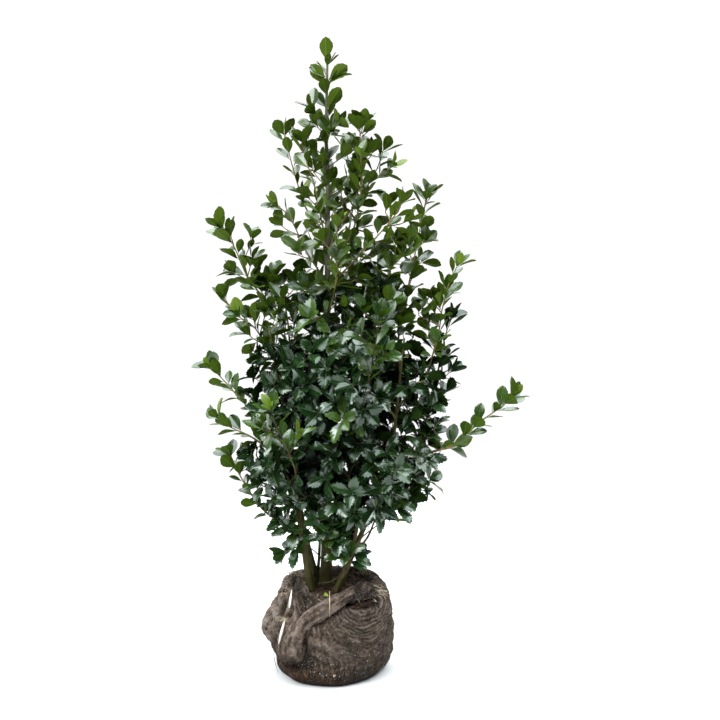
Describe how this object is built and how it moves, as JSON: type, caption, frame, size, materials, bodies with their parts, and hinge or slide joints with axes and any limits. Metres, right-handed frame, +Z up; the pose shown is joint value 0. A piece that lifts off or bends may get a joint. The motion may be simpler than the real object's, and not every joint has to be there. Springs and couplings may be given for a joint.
{
  "type": "root-balled holly shrub",
  "caption": "Young broadleaf evergreen holly with several stems and an open pointed crown of toothed glossy leaves, standing on a burlap-wrapped root ball.",
  "frame": {"origin": "middle of the root ball's flat underside", "axes": "+Z up along the leader, +X to the right seen from the front, and the front, the side that the knotted burlap roll crosses, faces -Y"},
  "size_m": [0.831, 0.6051, 1.568],
  "materials": {
    "burlap_ball": "coarse hairy burlap over packed soil, matte, brown grey with wet dark patches",
    "burlap_fold": "rolled and knotted burlap, matte, frayed",
    "soil": "moist crumbly soil with bits of bark and straw",
    "bark": "smooth grey-green young bark with fine relief, olive green on the twigs",
    "leaf_dark": "glossy dark green upper leaf face with a bluish sheen, pale midrib",
    "leaf_mid": "semi-gloss green leaf, lighter matte underside",
    "leaf_young": "soft fresh green young leaf, yellow-green toward the shoot tips"
  },
  "bodies": {
    "root": {"root_ball": "burlap_ball", "soil_top": "soil", "sack_roll_front": "burlap_fold", "sack_roll_left": "burlap_fold", "trunk": "bark", "stem_left_front": "bark", "stem_left_back": "bark", "stem_right_front": "bark", "stem_right_back": "bark", "pruned_stub": "bark", "bough_left_middle": "bark", "bough_left_lower": "bark", "bough_low_left": "bark", "bough_right_long": "bark", "bough_right_long_tip": "bark", "bough_low_right": "bark", "leaves_tip": "leaf_young", "leaves_spire_upper": "leaf_young", "leaves_spire_lower": "leaf_young", "leaves_top_left_inner": "leaf_young", "leaves_top_left_outer": "leaf_young", "leaves_top_left_side": "leaf_young", "leaves_top_right_inner": "leaf_young", "leaves_top_right_middle": "leaf_young", "leaves_top_right_outer": "leaf_young", "leaves_top_right_side": "leaf_young", "leaves_top_back": "leaf_young", "leaves_top_front": "leaf_young", "leaves_left_big": "leaf_mid", "leaves_left_upper": "leaf_mid", "leaves_left_middle": "leaf_mid", "leaves_left_lower": "leaf_mid", "leaves_low_left_reach": "leaf_dark", "leaves_right_tall": "leaf_mid", "leaves_right_outer": "leaf_mid", "leaves_right_edge": "leaf_dark", "leaves_right_long_near": "leaf_mid", "leaves_right_long_tip": "leaf_mid", "leaves_low_right_reach": "leaf_mid", "leaves_low_middle": "leaf_dark", "leaves_low_left": "leaf_dark", "leaves_low_right_foot": "leaf_dark", "leaves_back_left": "leaf_mid", "leaves_back_right": "leaf_mid", "leaves_front_left": "leaf_mid", "leaves_front_right": "leaf_mid", "leaves_low_1": "leaf_dark", "leaves_low_2": "leaf_dark", "leaves_low_3": "leaf_dark", "leaves_low_4": "leaf_dark", "leaves_middle_1": "leaf_dark", "leaves_middle_2": "leaf_dark", "leaves_middle_3": "leaf_dark", "leaves_middle_4": "leaf_dark", "leaves_middle_5": "leaf_dark", "leaves_high_1": "leaf_dark", "leaves_high_2": "leaf_dark", "leaves_high_3": "leaf_dark", "leaves_top_1": "leaf_dark", "leaves_top_2": "leaf_dark"}
  },
  "joints": []
}
